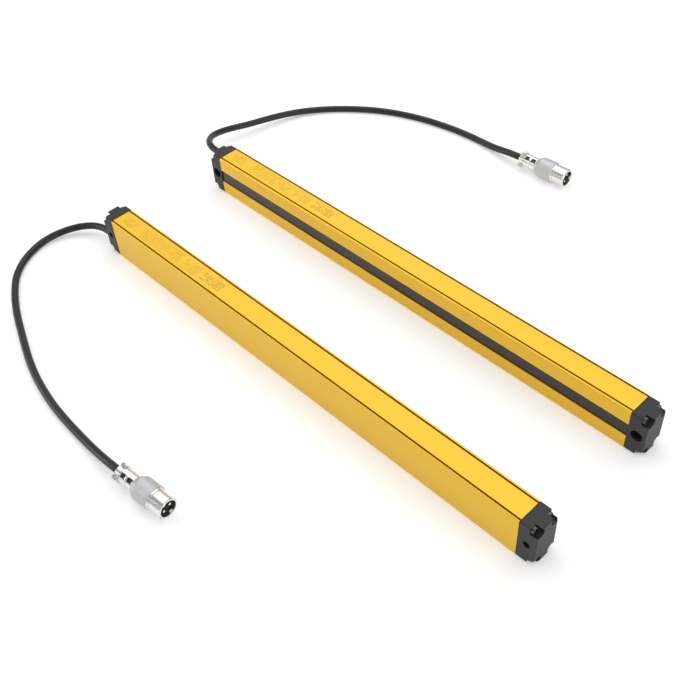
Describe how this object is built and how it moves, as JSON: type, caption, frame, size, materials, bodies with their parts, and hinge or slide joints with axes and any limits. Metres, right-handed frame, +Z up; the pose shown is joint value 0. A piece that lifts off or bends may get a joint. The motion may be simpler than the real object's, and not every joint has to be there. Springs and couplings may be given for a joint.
{
  "type": "safety light curtain",
  "caption": "Pair of slim yellow aluminium bars with dark windows facing each other, dark end caps with mounting holes, and a black cable with a round metal plug on each.",
  "frame": {"origin": "centre of the two bars, on the surface they lie on", "axes": "+X along the bars, away from the cables; +Y from the emitter bar to the receiver bar; +Z up"},
  "size_m": [0.5037, 0.4773, 0.0365],
  "materials": {
    "anodised_yellow": "yellow satin anodised extrusion",
    "window_tint": "dark tinted window, infrared transmitting",
    "black_rubber": "soft black rubber",
    "cable_sheath": "smooth dark grey sheath",
    "cap_plastic": "dark grey moulded plastic, fine grain",
    "holder_plastic": "black moulded plastic",
    "lens_clear": "clear moulded lens",
    "board_green": "green coated circuit board",
    "element_clear": "dark tinted optical element",
    "chip_black": "black chip package",
    "header_white": "off-white wire header",
    "wire_blue": "insulated wires",
    "screw_steel": "plated steel screw",
    "plug_nickel": "nickel plated metal",
    "barrel_nickel": "satin nickel plated metal",
    "insulator_black": "black insulator",
    "pin_silver": "silver plated contact pin"
  },
  "bodies": {
    "root": {"emitter_profile": "anodised_yellow", "emitter_window": "window_tint", "emitter_window_seals": "black_rubber", "emitter_lens_holder": "holder_plastic", "emitter_lenses": "lens_clear", "emitter_circuit_board": "board_green", "emitter_leds": "element_clear", "emitter_control_chips": "chip_black", "emitter_wire_header": "header_white", "emitter_inner_wires": "wire_blue", "emitter_cable_entry": "cable_sheath", "emitter_grommet": "black_rubber", "emitter_blind_gasket": "black_rubber", "emitter_cable_gasket": "black_rubber", "emitter_blind_cap": "cap_plastic", "emitter_cable_cap": "cap_plastic", "emitter_cap_screws": "screw_steel", "emitter_cable": "cable_sheath", "emitter_plug_clamp": "plug_nickel", "emitter_plug_clamp_screws": "screw_steel", "emitter_plug_sleeve": "plug_nickel", "emitter_plug_barrel": "barrel_nickel", "emitter_plug_nose": "plug_nickel", "emitter_plug_insulator": "insulator_black", "emitter_plug_pins": "pin_silver", "emitter_plug_sheath": "cable_sheath", "emitter_plug_wires": "wire_blue", "receiver_profile": "anodised_yellow", "receiver_window": "window_tint", "receiver_window_seals": "black_rubber", "receiver_lens_holder": "holder_plastic", "receiver_lenses": "lens_clear", "receiver_circuit_board": "board_green", "receiver_photodiodes": "element_clear", "receiver_control_chips": "chip_black", "receiver_wire_header": "header_white", "receiver_inner_wires": "wire_blue", "receiver_cable_entry": "cable_sheath", "receiver_grommet": "black_rubber", "receiver_blind_gasket": "black_rubber", "receiver_cable_gasket": "black_rubber", "receiver_blind_cap": "cap_plastic", "receiver_cable_cap": "cap_plastic", "receiver_cap_screws": "screw_steel", "receiver_cable": "cable_sheath", "receiver_plug_clamp": "plug_nickel", "receiver_plug_clamp_screws": "screw_steel", "receiver_plug_sleeve": "plug_nickel", "receiver_plug_barrel": "barrel_nickel", "receiver_plug_nose": "plug_nickel", "receiver_plug_insulator": "insulator_black", "receiver_plug_pins": "pin_silver", "receiver_plug_sheath": "cable_sheath", "receiver_plug_wires": "wire_blue"}
  },
  "joints": []
}
